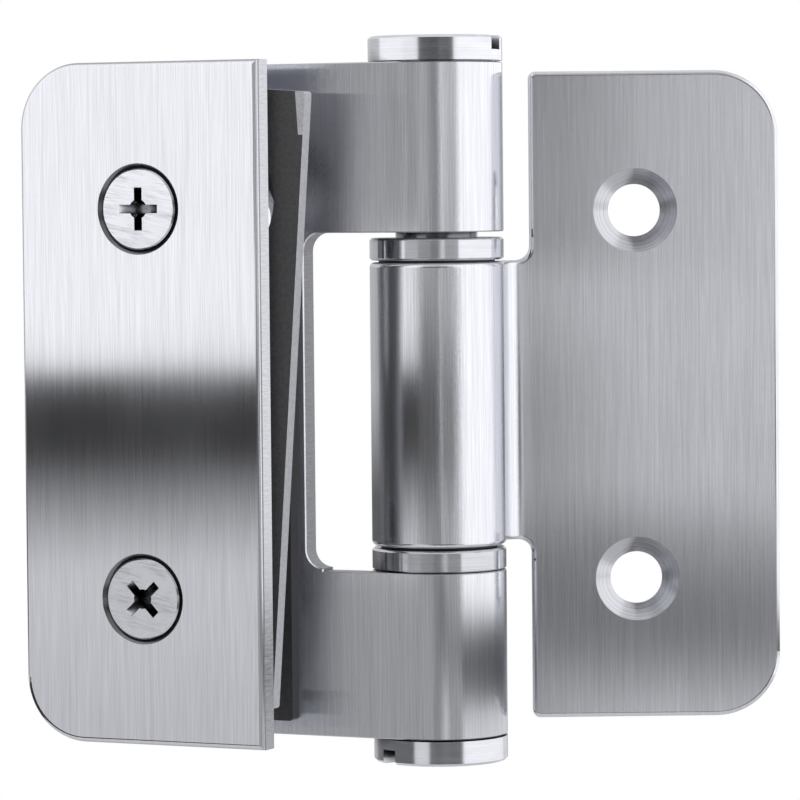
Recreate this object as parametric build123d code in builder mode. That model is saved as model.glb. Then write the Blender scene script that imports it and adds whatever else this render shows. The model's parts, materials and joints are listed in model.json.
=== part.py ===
"""Glass-to-wall shower door hinge: two rolled sheet leaves on a slotted two-part pin.

Millimetres. The origin is on the wall leaf's back face, midway between its two screw holes.
X runs along the wall away from the pin, Y runs into the wall and Z runs up the pin.
"""

import os
from math import acos, asin, atan2, cos, degrees, hypot, radians, sin, tan

from build123d import *

# Sheet, pin and clearances
leaf_t = 3.0
pin_d = 11.0
liner_t = 0.45
pin_gap = 0.04
seat_gap = 0.01
thrust_gap = 0.05
seam_gap = 0.3
corner_r = 8.7
sink_angle = 90.0

# Stack along the pin
door_h = 90.0
barrel_len = 37.85
window_drop = 0.22
ring_t = 3.0
ring_chamfer = 0.3
end_play = 0.7
liner_len = 14.0
liner_flange_t = 0.3
liner_flange_inset = 1.2

# Pin and its two slotted heads
head_t = 3.5
head_chamfer = 0.35
head_relief = 0.2
head_relief_w = 0.8
slot_w = 2.5
slot_depth = 1.9
top_slot_angle = -1.0
bottom_slot_angle = 63.6
pin_foot = 4.0
stud_d = 8.0
stud_len = 16.0
stud_end_gap = 2.0
thread_chamfer = 0.6

# Wall leaf
wall_h = 87.7
wall_reach = 46.5
wall_hole_reach = 27.1
wall_hole_pitch = 50.0
wall_hole_d = 7.1
wall_sink_d = 11.4
wall_edge_r = 0.6
wall_inner_corner_r = 0.9
notch_w = 3.85
notch_r = 2.0
bend_r = 2.7

# Door leaf
door_angle = 26.2
door_chamfer = 0.15
window_gap = 6.5
window_r = 2.5
window_step = 0.4
spare_hole_reach = 24.0
spare_hole_pitch = 49.0
spare_hole_d = 7.4

# Clamp plate and its screws
glass_t = 8.0
clamp_t = 3.0
clamp_h = 90.6
clamp_near = 14.6
clamp_far = 50.2
clamp_edge_r = 0.7
screw_pitch = 51.7
screw_d = 6.0
screw_hole_gap = 0.3
screw_head_d = 10.8
screw_head_edge = 0.2
screw_head_rim = 0.4
screw_sink_d = 12.1
screw_end_recess = 0.5
recess_span = 5.7
recess_floor_span = 2.6
recess_depth = 2.3
recess_arm_w = 1.15
recess_core_d = 2.6
recess_core_floor_d = 1.4
upper_twist = 0.0
lower_twist = 43.0
sleeve_t = 1.8
sleeve_end_gap = 0.05

# Gaskets
gasket_t = 2.0
gasket_inset = 2.1
gasket_margin = 4.6
gasket_corner_r = 0.5
gasket_slot_h = 19.0
gasket_slot_near = 14.1
gasket_slot_far = 10.0
rear_gasket_inset = 2.2
rear_gasket_drop = 2.2
front_gasket_shift = 2.7
front_gasket_lift = 1.55
front_gasket_tilt = -4.0

# Sizes that follow from the ones above
pin_r = pin_d / 2
bore_r = pin_r + pin_gap + liner_t + seat_gap
barrel_r = bore_r + leaf_t
shoulder_r = bore_r - seat_gap
window_h = barrel_len + 2 * (ring_t + liner_flange_t + thrust_gap) + end_play
window_top = window_h / 2 - window_drop
window_bottom = window_top - window_h
barrel_bottom = window_bottom + ring_t + thrust_gap + liner_flange_t
barrel_top = barrel_bottom + barrel_len
clamp_back = barrel_r + glass_t + 2 * gasket_t
clamp_front = clamp_back + clamp_t
screw_reach = (clamp_near + clamp_far) / 2
cut_through = 4 * barrel_r

# Reference planes: across the pin, along the pin, the door leaf turned about the pin, and its upright face
hinge = Plane(origin=(-wall_hole_reach, -barrel_r, 0))
hinge_axis = Axis(hinge.origin, (0, 0, 1))
hinge_section = Plane(origin=hinge.origin, x_dir=(1, 0, 0), z_dir=(0, -1, 0))
wall_front = Plane.XZ.offset(leaf_t)
door_turn = radians(door_angle)
door = Plane(origin=hinge.origin, x_dir=(cos(door_turn), -sin(door_turn), 0), z_dir=(0, 0, 1))
door_face = Plane(origin=hinge.origin, x_dir=door.x_dir, z_dir=-door.y_dir)
door_outward = Axis(hinge.origin, door_face.z_dir)
door_inward = Axis(hinge.origin, door.x_dir)

os.makedirs("parts", exist_ok=True)


def save(part, name):
    part.label = name
    export_step(part, f"parts/{name}.step")


def polar(radius, angle):
    return (radius * cos(radians(angle)), radius * sin(radians(angle)))


def turned_plane(face, point, angle):
    """Plane at a point of a face, turned in that face by an angle."""
    heading = face.x_dir.rotate(Axis(face.origin, face.z_dir), angle)
    return Plane(origin=face.from_local_coords(point), x_dir=heading, z_dir=face.z_dir)


def rolled(faces, radius):
    """Faces bent or rolled to a radius."""
    return faces.filter_by(GeomType.CYLINDER).filter_by(lambda face: abs(face.radius - radius) < seat_gap)


def rim(faces):
    """Edges round a patch of adjoining faces, without the ones that two of them share."""
    edges = ShapeList(edge for face in faces for edge in face.outer_wire().edges())
    return edges.filter_by(lambda edge: sum(edge.is_same(other) for other in edges) == 1)


def outer_circles(part):
    """Circular edges on the outside of a turned piece."""
    return part.edges().filter_by(GeomType.CIRCLE).filter_by(lambda edge: edge.radius > barrel_r - seat_gap)


# Wall leaf: plate, S-bend forward from the wall and barrel rolled round the front, with its seam behind
bend_x = barrel_r + bend_r
bend_y = bore_r - bend_r
bend_distance = hypot(bend_x, bend_y)
seam_reach = bend_r + leaf_t + seam_gap
seam_cosine = (bend_distance**2 + barrel_r**2 - seam_reach**2) / (2 * barrel_r * bend_distance)
wall_seam = degrees(atan2(bend_y, bend_x) + acos(seam_cosine))
notch_edge = barrel_r + notch_w

with BuildPart() as wall_leaf:
    with BuildSketch(hinge.offset(-wall_h / 2)):
        with BuildLine():
            Line((wall_reach, barrel_r), (bend_x, barrel_r))
            CenterArc((bend_x, bend_y), bend_r + leaf_t, 90, 90)
            Line((bore_r, bend_y), (bore_r, 0))
            CenterArc((0, 0), bore_r, 0, wall_seam - 360)
            Line(polar(bore_r, wall_seam), polar(barrel_r, wall_seam))
            CenterArc((0, 0), barrel_r, wall_seam - 360, 360 - wall_seam)
            Line((barrel_r, 0), (barrel_r, bend_y))
            CenterArc((bend_x, bend_y), bend_r, 180, -90)
            Line((bend_x, bore_r), (wall_reach, bore_r))
            Line((wall_reach, bore_r), (wall_reach, barrel_r))
        make_face()
    extrude(amount=wall_h)
    # Notches above and below the rolled strip
    for strip_end, plate_end in ((barrel_top, wall_h), (barrel_bottom, -wall_h)):
        with BuildSketch(hinge_section):
            with BuildLine():
                Polyline(
                    (notch_edge, strip_end),
                    (notch_edge, plate_end),
                    (-cut_through, plate_end),
                    (-cut_through, strip_end),
                    close=True,
                )
            notch = make_face()
            fillet(notch.vertices().sort_by_distance((notch_edge, strip_end))[0], notch_r)
        extrude(amount=cut_through, both=True, mode=Mode.SUBTRACT)
    # Plate corners: large at the free end, small beside the notches
    plate_ends = wall_leaf.edges().filter_by(Axis.Y).group_by(Axis.Z)
    end_corners = plate_ends[0] + plate_ends[-1]
    fillet(end_corners.group_by(Axis.X)[-1], corner_r)
    plate_ends = wall_leaf.edges().filter_by(Axis.Y).group_by(Axis.Z)
    end_corners = plate_ends[0] + plate_ends[-1]
    fillet(end_corners.group_by(Axis.X)[0], wall_inner_corner_r)
    # Rounded edge all the way round the room side of the sheet
    sheet = wall_leaf.faces()
    plate_front = sheet.filter_by(Axis.Y).sort_by(Axis.Y)[0]
    neck_side = sheet.filter_by(Axis.X).sort_by(Axis.X)[1]
    fillet(rim(rolled(sheet, barrel_r) + rolled(sheet, bend_r) + [plate_front, neck_side]), wall_edge_r)
    with Locations(wall_front):
        with GridLocations(1, wall_hole_pitch, 1, 2):
            CounterSinkHole(wall_hole_d / 2, wall_sink_d / 2, leaf_t, sink_angle)
save(wall_leaf.part, "wall_leaf")

# Liners: thin flanged sleeves in both ends of the barrel
liner_bore_r = pin_r + pin_gap
liner_flange_r = barrel_r - liner_flange_inset
for name, mouth, inward in (("upper_liner", barrel_top, -1), ("lower_liner", barrel_bottom, 1)):
    with BuildPart() as liner:
        with BuildSketch(hinge_section):
            with BuildLine():
                Polyline(
                    (liner_bore_r, mouth - inward * liner_flange_t),
                    (liner_flange_r, mouth - inward * liner_flange_t),
                    (liner_flange_r, mouth),
                    (shoulder_r, mouth),
                    (shoulder_r, mouth + inward * liner_len),
                    (liner_bore_r, mouth + inward * liner_len),
                    close=True,
                )
            make_face()
        revolve(axis=hinge_axis)
    save(liner.part, name)

# Thrust rings between the barrel and the knuckles: the upper one lies on its liner, the lower on its knuckle
for name, foot in (("upper_ring", barrel_top + liner_flange_t), ("lower_ring", window_bottom)):
    with BuildPart() as ring:
        with BuildSketch(hinge.offset(foot)):
            Circle(barrel_r)
            Circle(pin_r + pin_gap, mode=Mode.SUBTRACT)
        extrude(amount=ring_t)
        chamfer(outer_circles(ring), ring_chamfer)
    save(ring.part, name)

# Door leaf: flat plate with two arms rolled into knuckles
door_seam = 180 + degrees(asin((bore_r - seam_gap) / barrel_r))
window_edge = -barrel_r - window_gap
window_corner = window_edge + window_r
step_z = window_bottom + window_step

with BuildPart() as door_leaf:
    with BuildSketch(door.offset(-door_h / 2)):
        with BuildLine():
            Line((-clamp_far, -barrel_r), (0, -barrel_r))
            CenterArc((0, 0), barrel_r, -90, door_seam + 90)
            Line(polar(barrel_r, door_seam), polar(bore_r, door_seam))
            CenterArc((0, 0), bore_r, door_seam, -door_seam - 90)
            Line((0, -bore_r), (-clamp_far, -bore_r))
            Line((-clamp_far, -bore_r), (-clamp_far, -barrel_r))
        make_face()
    extrude(amount=door_h)
    fillet(door_leaf.edges().filter_by(door_outward).group_by(door_inward)[0], corner_r)
    # Window between the arms, with the cutter's step left in its lower corner
    with BuildSketch(door_face):
        with BuildLine():
            Line((cut_through, window_top), (window_corner, window_top))
            CenterArc((window_corner, window_top - window_r), window_r, 90, 90)
            Line((window_edge, window_top - window_r), (window_edge, step_z + window_r))
            CenterArc((window_corner, step_z + window_r), window_r, 180, 90)
            Polyline(
                (window_corner, step_z),
                (window_corner, window_bottom),
                (cut_through, window_bottom),
                (cut_through, window_top),
            )
        make_face()
    extrude(amount=cut_through, both=True, mode=Mode.SUBTRACT)
    # Broken edge all the way round the glass side of the sheet
    sheet = door_leaf.faces()
    glass_side = sheet.filter_by(door_outward).sort_by(door_outward)[-1]
    chamfer(rim(rolled(sheet, barrel_r) + [glass_side]), door_chamfer)
    # Tapped holes for the clamp screws, and two spare plain holes nearer the pin
    with BuildSketch(door_face):
        with Locations((-screw_reach, 0)):
            with GridLocations(1, screw_pitch, 1, 2):
                Circle(screw_d / 2 + seat_gap)
        with Locations((-spare_hole_reach, 0)):
            with GridLocations(1, spare_hole_pitch, 1, 2):
                Circle(spare_hole_d / 2)
    extrude(amount=cut_through, mode=Mode.SUBTRACT)
save(door_leaf.part, "door_leaf")


def slotted_head(seat, outward):
    """Outer corners of a pin head's half section, from its relieved seat to the middle of its crown."""
    seat_r = barrel_r - head_relief_w
    relief = seat + outward * head_relief
    crown = seat + outward * head_t
    return (seat_r, seat), (seat_r, relief), (barrel_r, relief), (barrel_r, crown), (0, crown)


def crown_plane(seat, outward, angle):
    """Plane on the crown of a pin head, its X along the screwdriver slot."""
    heading = radians(angle - door_angle)
    return Plane(
        origin=hinge.origin + Vector(0, 0, seat + outward * head_t),
        x_dir=(cos(heading), sin(heading), 0),
        z_dir=(0, 0, outward),
    )


# Pin: slotted head, shoulder in the upper knuckle and polished neck down into the lower knuckle
top_seat = door_h / 2
bottom_seat = -door_h / 2
pin_end = window_bottom - pin_foot
stud_r = stud_d / 2
tapped_r = stud_r + seat_gap
tapped_end = pin_end + stud_len + stud_end_gap

with BuildPart() as hinge_pin:
    with BuildSketch(hinge_section):
        with BuildLine():
            Polyline(
                *slotted_head(top_seat, 1),
                (0, tapped_end),
                (tapped_r, tapped_end),
                (tapped_r, pin_end),
                (pin_r, pin_end),
                (pin_r, window_top),
                (shoulder_r, window_top),
                (shoulder_r, top_seat),
                close=True,
            )
        make_face()
    revolve(axis=hinge_axis)
    chamfer(outer_circles(hinge_pin).sort_by(Axis.Z)[-1], head_chamfer)
    with BuildSketch(crown_plane(top_seat, 1, top_slot_angle)):
        Rectangle(cut_through, slot_w)
    extrude(amount=-slot_depth, mode=Mode.SUBTRACT)
save(hinge_pin.part, "hinge_pin")

# Pin screw: slotted head below, collar in the lower knuckle and stud up into the pin
stud_end = pin_end + stud_len
with BuildPart() as pin_screw:
    with BuildSketch(hinge_section):
        with BuildLine():
            Polyline(
                *slotted_head(bottom_seat, -1),
                (0, stud_end),
                (stud_r - thread_chamfer, stud_end),
                (stud_r, stud_end - thread_chamfer),
                (stud_r, pin_end),
                (shoulder_r, pin_end),
                (shoulder_r, bottom_seat),
                close=True,
            )
        make_face()
    revolve(axis=hinge_axis)
    chamfer(outer_circles(pin_screw).sort_by(Axis.Z)[0], head_chamfer)
    with BuildSketch(crown_plane(bottom_seat, -1, bottom_slot_angle)):
        Rectangle(cut_through, slot_w)
    extrude(amount=-slot_depth, mode=Mode.SUBTRACT)
save(pin_screw.part, "pin_screw")

# Clamp plate: rounded on its far side, square beside the pin
clamp_w = clamp_far - clamp_near
screw_hole_r = screw_d / 2 + screw_hole_gap
with BuildPart() as clamp_plate:
    with BuildSketch(door_face.offset(clamp_back)) as clamp_outline:
        with Locations((-screw_reach, 0)):
            Rectangle(clamp_w, clamp_h)
        fillet(clamp_outline.vertices().group_by(Axis.X)[0], corner_r)
    extrude(amount=clamp_t)
    fillet(clamp_plate.faces().sort_by(door_outward)[-1].edges(), clamp_edge_r)
    with Locations(door_face.offset(clamp_front)):
        with Locations((-screw_reach, 0)):
            with GridLocations(1, screw_pitch, 1, 2):
                CounterSinkHole(screw_hole_r, screw_sink_d / 2, clamp_t, sink_angle)
save(clamp_plate.part, "clamp_plate")

# Clamp screws: countersunk heads with a cross recess, tapped into the door leaf
screw_r = screw_d / 2
head_r = screw_head_d / 2
sink_slope = tan(radians(sink_angle / 2))
cone_h = (head_r - screw_r) / sink_slope
cone_top = screw_head_edge + screw_head_rim
head_drop = (screw_sink_d / 2 - head_r) / sink_slope - cone_top - seat_gap
screw_len = clamp_front - head_drop - bore_r - screw_end_recess
head_face = door_face.offset(clamp_front - head_drop)

with BuildPart() as clamp_screws:
    for z, twist in ((screw_pitch / 2, upper_twist), (-screw_pitch / 2, lower_twist)):
        head = turned_plane(head_face, (-screw_reach, z), twist)
        with BuildSketch(Plane(origin=head.origin, x_dir=head.x_dir, z_dir=-head.y_dir)):
            with BuildLine():
                Polyline(
                    (0, 0),
                    (head_r - screw_head_edge, 0),
                    (head_r, -screw_head_edge),
                    (head_r, -cone_top),
                    (screw_r, -cone_top - cone_h),
                    (screw_r, thread_chamfer - screw_len),
                    (screw_r - thread_chamfer, -screw_len),
                    (0, -screw_len),
                    close=True,
                )
            make_face()
        revolve(axis=Axis(head.origin, head.z_dir))
        for arm_angle in (0, 90):
            arm = turned_plane(head, (0, 0), arm_angle)
            with BuildSketch(Plane(origin=arm.origin, x_dir=arm.x_dir, z_dir=-arm.y_dir)):
                with BuildLine():
                    Polyline(
                        (-recess_span / 2, 0),
                        (recess_span / 2, 0),
                        (recess_floor_span / 2, -recess_depth),
                        (-recess_floor_span / 2, -recess_depth),
                        close=True,
                    )
                make_face()
            extrude(amount=recess_arm_w / 2, both=True, mode=Mode.SUBTRACT)
        with BuildSketch(Plane(origin=head.origin, x_dir=head.x_dir, z_dir=-head.y_dir)):
            with BuildLine():
                Polyline(
                    (0, 0),
                    (recess_core_d / 2, 0),
                    (recess_core_floor_d / 2, -recess_depth),
                    (0, -recess_depth),
                    close=True,
                )
            make_face()
        revolve(axis=Axis(head.origin, head.z_dir), mode=Mode.SUBTRACT)
save(clamp_screws.part, "clamp_screws")

# Sleeves round the clamp screws, between the door leaf and the clamp plate
with BuildPart() as screw_sleeves:
    with BuildSketch(door_face.offset(barrel_r + sleeve_end_gap)):
        with Locations((-screw_reach, 0)):
            with GridLocations(1, screw_pitch, 1, 2):
                Circle(screw_hole_r + sleeve_t)
                Circle(screw_hole_r, mode=Mode.SUBTRACT)
    extrude(amount=clamp_back - barrel_r - 2 * sleeve_end_gap)
save(screw_sleeves.part, "screw_sleeves")

# Gaskets: sheet with a slot round each sleeve; the front one hangs crooked, the rear one is tucked in
gasket_h = clamp_h - 2 * gasket_margin
gasket_far = clamp_far - gasket_inset
front_seat = door_face.offset(clamp_back - gasket_t)
rear_seat = door_face.offset(barrel_r)

for name, seat, near, shift, lift, tilt in (
    ("front_gasket", front_seat, clamp_near, front_gasket_shift, front_gasket_lift, front_gasket_tilt),
    ("rear_gasket", rear_seat, clamp_near + rear_gasket_inset, 0, -rear_gasket_drop, 0),
):
    middle = (near + gasket_far) / 2
    slot_x = middle - screw_reach + (gasket_slot_near - gasket_slot_far) / 2
    with BuildPart() as gasket:
        with BuildSketch(turned_plane(seat, (shift - middle, lift), tilt)):
            RectangleRounded(gasket_far - near, gasket_h, gasket_corner_r)
            with Locations((slot_x, 0)):
                with GridLocations(1, screw_pitch, 1, 2):
                    SlotOverall(gasket_slot_near + gasket_slot_far, gasket_slot_h, mode=Mode.SUBTRACT)
        extrude(amount=gasket_t)
    save(gasket.part, name)
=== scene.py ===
"""Looks of the shower door hinge: brushed sheet, turned pin, gaskets, studio light and camera."""

import json
from math import cos, radians, sin

import bpy
from mathutils import Matrix, Vector


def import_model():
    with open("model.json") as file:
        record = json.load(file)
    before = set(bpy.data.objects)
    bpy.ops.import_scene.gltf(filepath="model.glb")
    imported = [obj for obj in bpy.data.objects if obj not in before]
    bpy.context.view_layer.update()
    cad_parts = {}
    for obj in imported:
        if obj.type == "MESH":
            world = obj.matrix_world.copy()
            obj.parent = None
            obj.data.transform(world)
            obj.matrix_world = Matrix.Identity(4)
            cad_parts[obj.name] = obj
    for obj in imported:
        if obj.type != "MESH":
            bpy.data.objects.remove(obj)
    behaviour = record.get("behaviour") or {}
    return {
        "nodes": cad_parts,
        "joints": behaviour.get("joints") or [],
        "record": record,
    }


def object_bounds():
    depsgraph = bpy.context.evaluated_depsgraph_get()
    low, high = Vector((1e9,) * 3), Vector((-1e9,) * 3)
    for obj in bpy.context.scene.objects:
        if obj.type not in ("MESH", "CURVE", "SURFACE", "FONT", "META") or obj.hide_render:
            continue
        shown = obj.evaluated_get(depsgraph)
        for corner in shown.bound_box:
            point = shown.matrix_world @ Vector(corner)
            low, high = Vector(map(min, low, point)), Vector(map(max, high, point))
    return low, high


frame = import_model()
cad_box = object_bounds()

MM = 0.001
joint = frame["joints"][0]
PIN = Vector(joint["pos_m"])
NODES = frame["nodes"]

# Camera, as fitted to the photograph: it aims a little left of the pin
FOCAL_LENGTH = 202.6
SENSOR = 36.0
CAMERA_DISTANCE = 603.9 * MM
CAMERA_AIM = PIN + Vector((-5.10, 0, -0.106)) * MM
CAMERA_AZIMUTH = radians(1.211)
CAMERA_ELEVATION = radians(2.695)
CAMERA_ROLL = radians(-0.54)

# The door pieces were drawn turned by this angle
DOOR_ANGLE = radians(26.2)
# Directions that the door's sheets and the wall leaf face along, and from the door's sheets to the pin
DOOR_FACE = (sin(DOOR_ANGLE), cos(DOOR_ANGLE), 0)
WALL_FACE = (0, 1, 0)
TOWARDS_PIN = Vector((cos(DOOR_ANGLE), -sin(DOOR_ANGLE), 0))
GASKET_TILT = radians(4.0)
# Upper bore of each sheet, which has its like below: a point on its axis
WALL_BORE = Vector((0, 0, 25.0)) * MM
CLAMP_BORE = PIN + Vector((-32.4 * cos(DOOR_ANGLE), 32.4 * sin(DOOR_ANGLE), 25.85)) * MM

# Greys are a little blue, as in the photograph
COOL_TINT = (0.975, 0.987, 1.05)
# Crest in the shading of the barrel: how far its flanks reach, and the left one's share of the lean
CREST_REACH = 2.8 * MM
LEFT_FLANK_SHARE = 0.3

# Studio, all round the pin: azimuths run from the camera's side, elevations from the horizon
FLOOR_DROP = 0.10
FLOOR_RADIUS = 0.28
CARD_DISTANCE = 8.0
LEFT_LIGHT = 1.34
RIGHT_LIGHT = 1.45
LEFT_ROWS = (
    (-10, 0.75),
    (-6.97, 0.75),
    (-4.9, 0.85),
    (-3.4, 0.045),
    (-2.5, 0.015),
    (-2.3, 0.03),
    (-2.2, LEFT_LIGHT),
    (4.5, LEFT_LIGHT),
)
ARM_ROWS = (
    (-10, 0.45),
    (-5.05, 0.45),
    (-4.95, 0.9),
    (-4.6, 0.75),
    (-3.4, 0.07),
    (-2.5, 0.02),
    (-2.3, 0.03),
    (-2.2, 1.0),
    (-0.62, 1.15),
    (-0.5, 0.43),
    (4.5, 0.43),
)
FRONT_ROWS = ((-10, 0.48), (-4.6, 0.45), (-3.5, 0.14), (-2.6, 0.14), (-1, 0.52), (-0.6, 0.55), (4.5, 0.52))
MIDDLE_ROWS = (
    (-10, 0.4),
    (-5, 0.3),
    (-4.6, 0.42),
    (-3.5, 0.14),
    (-2.6, 0.14),
    (-1, 0.5),
    (-0.6, 0.33),
    (4.5, 0.33),
)
NEAR_WALL_ROWS = (
    (-10, 0.8),
    (-6.97, 0.8),
    (-6.4, 0.45),
    (-6.0, 0.1),
    (-4.6, 0.06),
    (-3.8, 0.88),
    (-1.2, 0.85),
    (-0.6, 0.35),
    (4.5, 0.27),
)
FAR_WALL_ROWS = (
    (-10, 0.8),
    (-6.97, 0.8),
    (-6.6, 0.5),
    (-6.2, 0.35),
    (-5.5, 0.36),
    (-4.4, 0.83),
    (-1, 0.85),
    (-0.5, 1.08),
    (4.5, 1.0),
)
BARREL_ROWS = (
    (-10, 0.45),
    (-6.97, 0.45),
    (-6.8, 0.5),
    (-6.1, 0.25),
    (-5.3, 0.5),
    (-4.5, 0.55),
    (-3.5, 0.25),
    (-2.6, 0.25),
    (-1.5, 0.55),
    (1.66, 0.7),
    (4.5, 0.7),
)
RIGHT_ROWS = (
    (-10, 1.0),
    (-6.97, 0.9),
    (-6.7, 0.15),
    (-6.1, 0.08),
    (-5.8, 0.2),
    (-5.45, RIGHT_LIGHT),
    (4.5, RIGHT_LIGHT),
)
BACK_ROWS = ((-10, 0.6), (-7, 0.6), (-5.5, 0.15), (-4, 0.15), (-2.5, 0.6), (10, 0.8), (60, 0.95))
CARDS = (
    ("left_card", (-112, -58), LEFT_ROWS),
    ("arm_card", (-58, -34), ARM_ROWS),
    ("front_card", (-34, -12), FRONT_ROWS),
    ("middle_card", (-12, 1), MIDDLE_ROWS),
    ("near_wall_card", (1, 5), NEAR_WALL_ROWS),
    ("far_wall_card", (5, 12), FAR_WALL_ROWS),
    ("barrel_card", (12, 36), BARREL_ROWS),
    ("right_card", (36, 156), RIGHT_ROWS),
    ("low_left_card", (-148, -49), ((-30, 0.04), (-10, 0.04))),
    ("low_left_front_card", (-49, -22), ((-30, 1.0), (-10, 1.0))),
    ("low_front_card", (-22, 37), ((-30, 0.12), (-10, 0.12))),
    ("low_right_card", (37, 136), ((-30, 1.4), (-10, 1.4))),
    ("high_left_card", (-112, -31), ((4.5, LEFT_LIGHT), (50, LEFT_LIGHT))),
    ("high_front_card", (-31, 30), ((4.5, 0.07), (14, 0.07), (20, 0.6), (60, 0.6))),
    ("high_right_card", (30, 136), ((4.5, RIGHT_LIGHT), (50, RIGHT_LIGHT))),
    ("back_card", (156, 248), BACK_ROWS),
    ("low_back_card", (136, 212), ((-30, 0.55), (-10, 0.6))),
)


def camera():
    ahead = Vector(
        (
            sin(CAMERA_AZIMUTH) * cos(CAMERA_ELEVATION),
            cos(CAMERA_AZIMUTH) * cos(CAMERA_ELEVATION),
            -sin(CAMERA_ELEVATION),
        )
    )
    level = ahead.cross(Vector((0, 0, 1))).normalized()
    upright = level.cross(ahead)
    right = level * cos(CAMERA_ROLL) + upright * sin(CAMERA_ROLL)
    up = right.cross(ahead)
    data = bpy.data.cameras.new("camera")
    data.lens = FOCAL_LENGTH
    data.sensor_width = SENSOR
    view = bpy.data.objects.new("camera", data)
    turn = Matrix((right, up, -ahead)).transposed().to_4x4()
    view.matrix_world = Matrix.Translation(CAMERA_AIM - ahead * CAMERA_DISTANCE) @ turn
    bpy.context.scene.collection.objects.link(view)
    bpy.context.scene.camera = view


class Graph:
    """A node tree that is written as calls: each call adds a node, sets its inputs and gives its output."""

    def __init__(self, tree):
        self.tree = tree
        tree.nodes.clear()

    def node(self, kind, inputs=(), **settings):
        node = self.tree.nodes.new(kind)
        for name, value in settings.items():
            setattr(node, name, value)
        for name, value in dict(inputs).items():
            if isinstance(value, bpy.types.NodeSocket):
                self.tree.links.new(value, node.inputs[name])
            else:
                node.inputs[name].default_value = value
        return node

    def math(self, operation, first, second=0.0):
        return self.node("ShaderNodeMath", {0: first, 1: second}, operation=operation).outputs[0]

    def vector(self, operation, first, second=(0, 0, 0), output="Vector"):
        return self.node("ShaderNodeVectorMath", {0: first, 1: second}, operation=operation).outputs[output]

    def scaled(self, vector, scale):
        return self.node("ShaderNodeVectorMath", {0: vector, "Scale": scale}, operation="SCALE").outputs[0]

    def between(self, value, low, high, start=0.0, end=1.0):
        """Value carried from the range low to high over to start to end, held at its ends."""
        inputs = {"Value": value, "From Min": low, "From Max": high, "To Min": start, "To Max": end}
        return self.node("ShaderNodeMapRange", inputs).outputs["Result"]

    def mix(self, share, first, second):
        node = self.node("ShaderNodeMix", {"Factor": share}, data_type="RGBA")
        for socket, colour in ((node.inputs[6], first), (node.inputs[7], second)):
            if isinstance(colour, bpy.types.NodeSocket):
                self.tree.links.new(colour, socket)
            else:
                socket.default_value = (*colour, 1)
        return node.outputs[2]

    def grey(self, shade):
        return tuple(part * shade for part in COOL_TINT)

    def place(self):
        return self.node("ShaderNodeTexCoord").outputs["Object"]

    def normal(self):
        return self.node("ShaderNodeNewGeometry").outputs["Normal"]

    def noise(self, place, scale, detail=2.0, offset=(0, 0, 0)):
        """Noise with its own scale along each axis, in ripples per metre."""
        where = self.vector("ADD", self.vector("MULTIPLY", place, scale), offset)
        return self.node("ShaderNodeTexNoise", {"Vector": where, "Scale": 1.0, "Detail": detail}).outputs[0]

    def bump(self, height, strength, distance, normal=None):
        inputs = {"Height": height, "Strength": strength, "Distance": distance}
        if normal:
            inputs["Normal"] = normal
        return self.node("ShaderNodeBump", inputs).outputs["Normal"]

    def faces(self, face):
        """How squarely a surface faces along a direction of its own piece, 0 to 1."""
        own = self.node("ShaderNodeTexCoord").outputs["Normal"]
        return self.math("ABSOLUTE", self.vector("DOT_PRODUCT", own, face, "Value"))

    def from_pin(self):
        """Spoke from the pin's axis out to the surface."""
        return self.vector("MULTIPLY", self.vector("SUBTRACT", self.place(), tuple(PIN)), (1, 1, 0))

    def from_axis(self, point, axis):
        """Distance from a line through a point, taken alike above and below the middle."""
        part = self.node("ShaderNodeSeparateXYZ", {0: self.place()}).outputs
        height = self.math("ABSOLUTE", part[2])
        folded = self.node("ShaderNodeCombineXYZ", {"X": part[0], "Y": part[1], "Z": height})
        spoke = self.vector("SUBTRACT", folded.outputs[0], tuple(point))
        return self.vector("LENGTH", self.vector("CROSS_PRODUCT", spoke, axis), output="Value")

    def open_sky(self, reach):
        """1 where a surface lies open, towards 0 in gaps and slots narrower than the reach."""
        return self.node("ShaderNodeAmbientOcclusion", {"Distance": reach}, samples=8).outputs["AO"]

    def tilted(self, slope):
        """Normal leant sideways by a slope, as the flank of an upright scratch is."""
        normal = self.normal()
        across = self.vector("CROSS_PRODUCT", normal, (0, 0, 1))
        return self.vector("NORMALIZE", self.vector("ADD", normal, self.scaled(across, slope)))

    def raised(self, slope):
        """Normal leant upwards by a slope."""
        return self.vector("NORMALIZE", self.vector("ADD", self.normal(), (0, 0, slope)))

    def principled(self, inputs):
        return self.node("ShaderNodeBsdfPrincipled", inputs).outputs[0]

    def blend(self, share, first, second):
        return self.node("ShaderNodeMixShader", {0: share, 1: first, 2: second}).outputs[0]

    def output(self, shader, kind="ShaderNodeOutputMaterial"):
        self.node(kind, {"Surface": shader})


def new_material(name):
    material = bpy.data.materials.new(name)
    material.use_nodes = True
    return material, Graph(material.node_tree)


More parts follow.
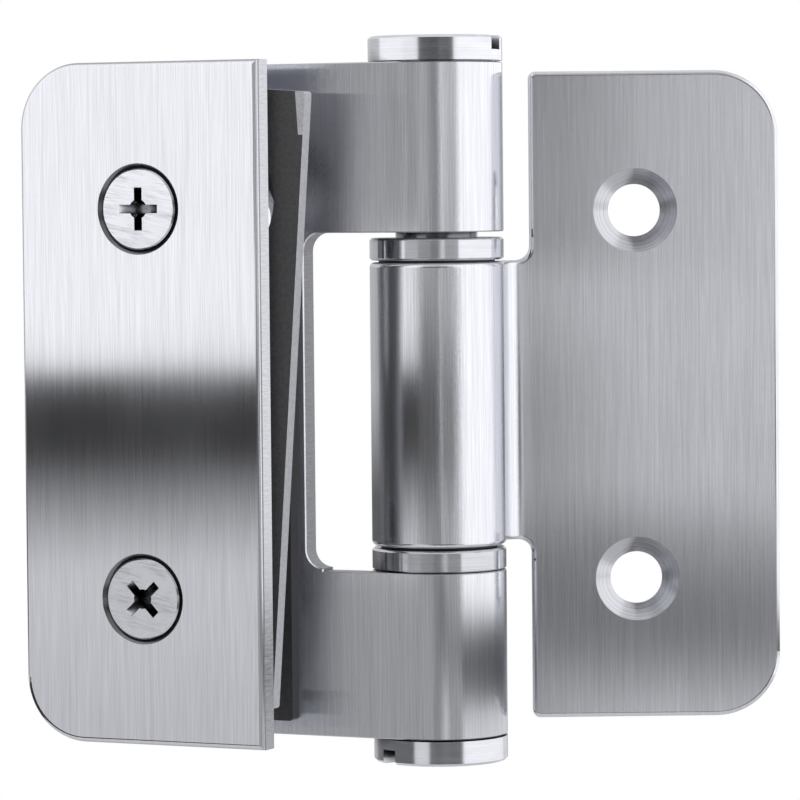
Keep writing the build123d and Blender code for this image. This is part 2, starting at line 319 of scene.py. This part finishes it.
def brushed_sheet(name, face, roll, spreads, slants, bore, bore_radius, bore_shade, cut_edge, crest=0.0):
    """Stainless sheet brushed up and down the leaf, with rougher cut edges and turned countersinks.

    The scratches lean the surface sideways only, so that highlights are drawn out across them.
    The sheet passes from its roll into its plate between the two radii of roll. Spreads are the
    scratches' leans on roll and plate, slants the shading's on the roll, beside it and on the plate."""
    material, graph = new_material(name)
    place = graph.place()
    hair = graph.noise(place, (60000, 60000, 9000), 1.0)
    fine = graph.noise(place, (6500, 6500, 110), 2.0, (1, 6, 2))
    broad = graph.noise(place, (1500, 1500, 25), 2.0, (7, 3, 5))
    cloud = graph.noise(place, (60, 60, 45), 2.0, (2, 9, 4))
    streak = graph.math("ADD", graph.math("MULTIPLY", fine, 0.75), graph.math("MULTIPLY", broad, 0.25))
    spoke = graph.from_pin()
    radius = graph.vector("LENGTH", spoke, output="Value")
    near = graph.between(radius, *roll, slants[0], slants[1])
    slant = graph.math("ADD", near, graph.between(radius, roll[1], 0.03, 0.0, slants[2] - slants[1]))
    # Slight crest down the front of the barrel, in its shading alone
    across = graph.node("ShaderNodeSeparateXYZ", {0: spoke}).outputs["X"]
    left_lean = LEFT_FLANK_SHARE * crest
    left_flank = graph.between(across, -CREST_REACH, 0.0, 0.0, left_lean)
    right_flank = graph.between(across, 0.0, CREST_REACH, -crest - left_lean, -left_lean)
    past_crest = graph.math("GREATER_THAN", across, 0.0)
    flank = graph.math("ADD", left_flank, graph.math("MULTIPLY", right_flank, past_crest))
    slant = graph.math("ADD", slant, graph.math("MULTIPLY", flank, graph.between(radius, *roll, 1.0, 0.0)))
    spread = graph.between(radius, *roll, *spreads)
    wander = graph.math(
        "ADD",
        graph.math("MULTIPLY", graph.between(hair, 0.25, 0.75, -1.0, 1.0), spread),
        graph.between(streak, 0.3, 0.7, -0.004, 0.004),
    )
    brushed = graph.principled(
        {
            "Base Color": graph.mix(graph.between(streak, 0.3, 0.7), graph.grey(0.575), graph.grey(0.727)),
            "Metallic": 1.0,
            "Roughness": graph.between(cloud, 0.3, 0.7, 0.085, 0.105),
            "Anisotropic": 1.0,
            "Tangent": graph.vector("CROSS_PRODUCT", graph.normal(), (0, 0, 1)),
            "Normal": graph.tilted(graph.math("ADD", slant, wander)),
        }
    )
    shear = graph.noise(place, (500, 500, 4500), 3.0, (3, 3, 8))
    cut = graph.principled(
        {
            "Base Color": graph.mix(
                graph.between(shear, 0.35, 0.65), graph.grey(cut_edge["dark"]), graph.grey(cut_edge["light"])
            ),
            "Metallic": cut_edge["metallic"],
            "Roughness": graph.between(shear, 0.3, 0.7, cut_edge["rough"], 1.3 * cut_edge["rough"]),
            "Normal": graph.bump(shear, cut_edge["uneven"], 0.00005, graph.tilted(cut_edge["lean"])),
        }
    )
    reach = graph.from_axis(bore, face)
    groove = graph.noise(graph.node("ShaderNodeCombineXYZ", {"X": reach}).outputs[0], (7000, 1, 1), 2.0)
    lit = graph.math("MAXIMUM", graph.node("ShaderNodeSeparateXYZ", {0: graph.normal()}).outputs["X"], 0.0)
    sunk = graph.vector("SUBTRACT", graph.normal(), graph.scaled(face, lit))
    # Countersinks take bore_shade as their tone; the clamp plate's is dark, as painted shade round its screws
    bored = graph.principled(
        {
            "Base Color": graph.mix(
                graph.between(groove, 0.35, 0.65), graph.grey(0.8 * bore_shade), graph.grey(1.2 * bore_shade)
            ),
            "Metallic": 1.0,
            "Roughness": graph.between(groove, 0.3, 0.7, 0.2, 0.28),
            "Normal": graph.bump(groove, 0.3, 0.00004, graph.vector("NORMALIZE", sunk)),
        }
    )
    side = graph.math(
        "MULTIPLY",
        graph.between(graph.faces(face), 0.35, 0.55, 1.0, 0.0),
        graph.between(radius, roll[1], roll[1] + 0.0004),
    )
    edge = graph.math("MAXIMUM", side, graph.between(graph.faces((0, 0, 1)), 0.6, 0.8))
    sheet = graph.blend(edge, brushed, cut)
    inside = graph.between(reach, bore_radius, bore_radius + 0.00005, 1.0, 0.0)
    sloping = graph.between(graph.faces(face), 0.85, 0.95, 1.0, 0.0)
    graph.output(graph.blend(graph.math("MULTIPLY", inside, sloping), sheet, bored))
    return material


def turned_steel(name, shade, rough, hollow_shade, reach, lean=0.0):
    """Steel turned on a lathe: fine rings round the pin, with painted shade darkening the slots and gaps."""
    material, graph = new_material(name)
    place = graph.place()
    spoke = graph.from_pin()
    radius = graph.vector("LENGTH", spoke, output="Value")
    height = graph.node("ShaderNodeSeparateXYZ", {0: place}).outputs["Z"]
    ring = graph.node("ShaderNodeCombineXYZ", {"X": radius, "Z": height}).outputs[0]
    line = graph.noise(ring, (9000, 1, 9000), 2.0)
    wear = graph.noise(place, (180, 180, 900), 3.0, (4, 1, 8))
    groove = graph.math("ADD", graph.math("MULTIPLY", line, 0.7), graph.math("MULTIPLY", wear, 0.3))
    around = graph.vector("CROSS_PRODUCT", (0, 0, 1), spoke)
    bright = graph.mix(graph.between(groove, 0.35, 0.65), graph.grey(0.88 * shade), graph.grey(1.12 * shade))
    # Painted shade: in slots and gaps that the ambient occlusion finds, the colour turns to the given dark
    # grey
    open_share = graph.between(graph.open_sky(reach), 0.4, 0.85)
    steel = graph.principled(
        {
            "Base Color": graph.mix(open_share, graph.grey(hollow_shade), bright),
            "Metallic": 1.0,
            "Roughness": graph.between(groove, 0.3, 0.7, rough, rough + 0.04),
            "Anisotropic": 0.35,
            "Tangent": graph.vector("CROSS_PRODUCT", graph.normal(), around),
            "Normal": graph.bump(groove, 0.06, 0.00003, graph.raised(lean)),
        }
    )
    graph.output(steel)
    return material


def screw_steel():
    """Screw heads faced with a file: fine slanting scratches on a bright ground, with painted shade down in
    the cross and round the head.
    """
    material, graph = new_material("screw_steel")
    place = graph.place()
    slant = graph.node("ShaderNodeMapping", {"Vector": place, "Rotation": (0, radians(-12), 0)}).outputs[0]
    scratch = graph.noise(slant, (300, 300, 4200), 3.0)
    patch = graph.noise(slant, (240, 240, 420), 2.0, (5, 2, 7))
    smear = graph.math("MULTIPLY", graph.between(scratch, 0.4, 0.62), graph.between(patch, 0.42, 0.62))
    bright = graph.mix(smear, graph.grey(0.76), graph.grey(0.58))
    # Painted shade: near black down in the cross and dark grey in the gap round the head, where ambient
    # occlusion finds them
    reach = graph.from_axis(CLAMP_BORE, DOOR_FACE)
    hollow_shade = graph.mix(graph.between(reach, 0.0035, 0.0045), graph.grey(0.02), graph.grey(0.2))
    steel = graph.principled(
        {
            "Base Color": graph.mix(graph.between(graph.open_sky(0.0022), 0.4, 0.92), hollow_shade, bright),
            "Metallic": 1.0,
            "Roughness": graph.between(scratch, 0.3, 0.7, 0.16, 0.22),
            "Normal": graph.bump(scratch, 0.05, 0.00004, graph.tilted(0.15)),
        }
    )
    graph.output(steel)
    return material


def gasket_sheet(name, edge_shade, corner=None):
    """Dark sheet gasket with its back painted paler, as painted light on the side that faces the door leaf,
    and cut edges of their own shade, which a bent corner shows too.
    """
    material, graph = new_material(name)
    fleck = graph.noise(graph.place(), (2200, 2200, 2200), 3.0)
    mottle = graph.between(fleck, 0.35, 0.65)
    own = graph.node("ShaderNodeTexCoord").outputs["Normal"]
    # Painted light: the back, which faces the door leaf, is painted far paler than the front
    rear = graph.between(graph.vector("DOT_PRODUCT", own, DOOR_FACE, "Value"), -0.5, 0.5)
    face = graph.mix(mottle, graph.grey(0.033), graph.grey(0.051))
    face = graph.mix(rear, face, graph.mix(mottle, graph.grey(0.36), graph.grey(0.44)))
    edge = graph.mix(mottle, graph.grey(0.9 * edge_shade), graph.grey(1.1 * edge_shade))
    if corner:
        inward = graph.vector("SUBTRACT", tuple(corner), graph.place())
        drop = graph.node("ShaderNodeSeparateXYZ", {0: inward}).outputs["Z"]
        along = graph.vector("DOT_PRODUCT", inward, TOWARDS_PIN, "Value")
        inset = graph.math("SUBTRACT", along, graph.math("MULTIPLY", drop, GASKET_TILT))
        bent = graph.math("LESS_THAN", inset, graph.between(drop, 0.0, 0.0055, 0.00125, 0.0005))
        face = graph.mix(graph.math("MULTIPLY", bent, graph.math("LESS_THAN", drop, 0.0055)), face, edge)
    sheet = graph.principled(
        {
            "Base Color": graph.mix(graph.between(graph.faces(DOOR_FACE), 0.5, 0.8), edge, face),
            "Roughness": graph.between(fleck, 0.3, 0.7, 0.3, 0.42),
            "Normal": graph.bump(fleck, 0.1, 0.00004),
        }
    )
    graph.output(sheet)
    return material


def plastic(name, dark, light, rough):
    """Moulded plastic with a fine matt grain."""
    material, graph = new_material(name)
    grain = graph.noise(graph.place(), (3000, 3000, 3000), 2.0)
    moulded = graph.principled(
        {
            "Base Color": graph.mix(graph.between(grain, 0.35, 0.65), dark, light),
            "Roughness": graph.between(grain, 0.3, 0.7, rough, rough + 0.12),
            "Normal": graph.bump(grain, 0.12, 0.00003),
        }
    )
    graph.output(moulded)
    return material


def upper_corner(node):
    """Corner of a door sheet that stands highest and nearest the pin."""
    return max((point.co for point in node.data.vertices), key=lambda place: place.z + place.dot(TOWARDS_PIN))


def dress():
    finishes = {
        # Turned finishes: tone, roughness, painted shade in slots and gaps, how far that shade reaches, and
        # the upward lean of the shading
        "turned_steel": turned_steel("turned_steel", 0.62, 0.11, 0.03, 0.0025),
        "screw_steel": screw_steel(),
        "liner_plastic": plastic("liner_plastic", (0.02, 0.02, 0.021), (0.035, 0.035, 0.037), 0.45),
        "sleeve_plastic": plastic("sleeve_plastic", (0.5, 0.505, 0.51), (0.6, 0.605, 0.61), 0.4),
    }
    own_finishes = {
        "wall_leaf": brushed_sheet(
            "brushed_wall_leaf",
            WALL_FACE,
            roll=(0.0125, 0.0145),
            spreads=(0.1, 0.06),
            slants=(0.0, 0.025, 0.0),
            bore=WALL_BORE,
            bore_radius=0.00572,
            bore_shade=0.52,
            cut_edge=dict(dark=0.6, light=0.7, metallic=0.5, rough=0.4, uneven=0.1, lean=0.0),
            crest=0.11,
        ),
        "door_leaf": brushed_sheet(
            "brushed_door_leaf",
            DOOR_FACE,
            roll=(0.00905, 0.0096),
            spreads=(0.06, 0.2),
            slants=(0.0, -0.14, -0.14),
            bore=CLAMP_BORE,
            bore_radius=0.0031,
            bore_shade=0.3,
            cut_edge=dict(dark=0.3, light=0.4, metallic=0.5, rough=0.4, uneven=0.1, lean=0.0),
        ),
        "clamp_plate": brushed_sheet(
            "brushed_clamp_plate",
            DOOR_FACE,
            roll=(0.00905, 0.0096),
            spreads=(0.06, 0.06),
            slants=(0.12, 0.12, 0.12),
            bore=CLAMP_BORE,
            bore_radius=0.006,
            # The clamp plate's countersink is painted dark, as painted shade in the gap round the screw head
            bore_shade=0.2,
            cut_edge=dict(dark=0.44, light=0.5, metallic=1.0, rough=0.08, uneven=0.0, lean=0.8),
        ),
        "front_gasket": gasket_sheet("front_gasket_sheet", 0.48, upper_corner(NODES["front_gasket"])),
        "rear_gasket": gasket_sheet("rear_gasket_sheet", 0.035),
        # The pin's slot takes a paler painted shade than the pin screw's
        "hinge_pin": turned_steel("turned_pin", 0.66, 0.16, 0.2, 0.004, 0.06),
        "pin_screw": turned_steel("turned_pin_screw", 0.66, 0.16, 0.02, 0.004, -0.06),
    }
    for subpart in frame["record"]["subparts"]:
        name = subpart["node"]
        node = NODES[name]
        node.data.materials.clear()
        finish = own_finishes[name] if name in own_finishes else finishes[subpart["material_slot"]]
        node.data.materials.append(finish)


def direction(azimuth, elevation):
    a, e = radians(azimuth), radians(elevation)
    return Vector((sin(a) * cos(e), -cos(a) * cos(e), sin(e)))


def card(name, columns, shades, paint):
    """Card that shows only in reflections, from columns of corners and a shade for each row of them."""
    rows = len(shades)
    faces = []
    for column in range(len(columns) - 1):
        for row in range(rows - 1):
            first = column * rows + row
            faces.append((first, first + 1, first + rows + 1, first + rows))
    mesh = bpy.data.meshes.new(name)
    mesh.from_pydata([corner for column in columns for corner in column], [], faces)
    painted = mesh.attributes.new("shade", "FLOAT_COLOR", "POINT")
    for index, point in enumerate(painted.data):
        shade = shades[index % rows]
        point.color = (shade, shade, shade, 1)
    mesh.materials.append(paint)
    board = bpy.data.objects.new(name, mesh)
    board.visible_camera = False
    bpy.context.scene.collection.objects.link(board)


def curved_card(name, azimuths, levels, paint, steps=16):
    """Far card bent round the pin, graded through shades at set elevations."""
    columns = []
    for step in range(steps + 1):
        azimuth = azimuths[0] + (azimuths[1] - azimuths[0]) * step / steps
        columns.append([PIN + direction(azimuth, elevation) * CARD_DISTANCE for elevation, _ in levels])
    card(name, columns, [shade for _, shade in levels], paint)


def card_paint():
    """Matt card that shows the shade painted on it."""
    material, graph = new_material("card_paint")
    shade = graph.node("ShaderNodeAttribute", attribute_name="shade").outputs["Color"]
    glow = graph.node("ShaderNodeEmission", {"Color": shade, "Strength": 1.0})
    graph.output(glow.outputs[0])
    return material


def seen_as_background(graph):
    """1 for rays that see the background: straight from the camera, mirrored or through glass."""
    path = graph.node("ShaderNodeLightPath")
    mirrored = graph.math("MAXIMUM", path.outputs["Is Glossy Ray"], path.outputs["Is Transmission Ray"])
    return graph.math("MAXIMUM", path.outputs["Is Camera Ray"], mirrored)


def world():
    sky = bpy.data.worlds.new("studio")
    bpy.context.scene.world = sky
    sky.use_nodes = True
    graph = Graph(sky.node_tree)
    strength = graph.between(seen_as_background(graph), 0.0, 1.0, 0.7, 1.0)
    white = graph.node("ShaderNodeBackground", {"Color": (1, 1, 1, 1), "Strength": strength})
    graph.output(white.outputs[0], "ShaderNodeOutputWorld")


def floor():
    bpy.ops.mesh.primitive_circle_add(
        vertices=96, radius=FLOOR_RADIUS, fill_type="NGON", location=(PIN.x, PIN.y, cad_box[0].z - FLOOR_DROP)
    )
    ground = bpy.context.object
    ground.name = "floor"
    material, graph = new_material("pale_floor")
    matt = graph.node("ShaderNodeBsdfDiffuse", {"Color": (0.86, 0.86, 0.865, 1)})
    white = graph.node("ShaderNodeEmission", {"Color": (1, 1, 1, 1), "Strength": 1.0})
    path = graph.node("ShaderNodeLightPath")
    seen = graph.math("MULTIPLY", path.outputs["Is Camera Ray"], 0.9)
    both = graph.node("ShaderNodeMixShader", {0: seen, 1: matt.outputs[0], 2: white.outputs[0]})
    graph.output(both.outputs[0])
    ground.data.materials.append(material)


def studio():
    world()
    floor()
    paint = card_paint()
    for name, azimuths, levels in CARDS:
        curved_card(name, azimuths, levels, paint)


camera()
dress()
studio()

bpy.context.scene.view_settings.view_transform = "Standard"
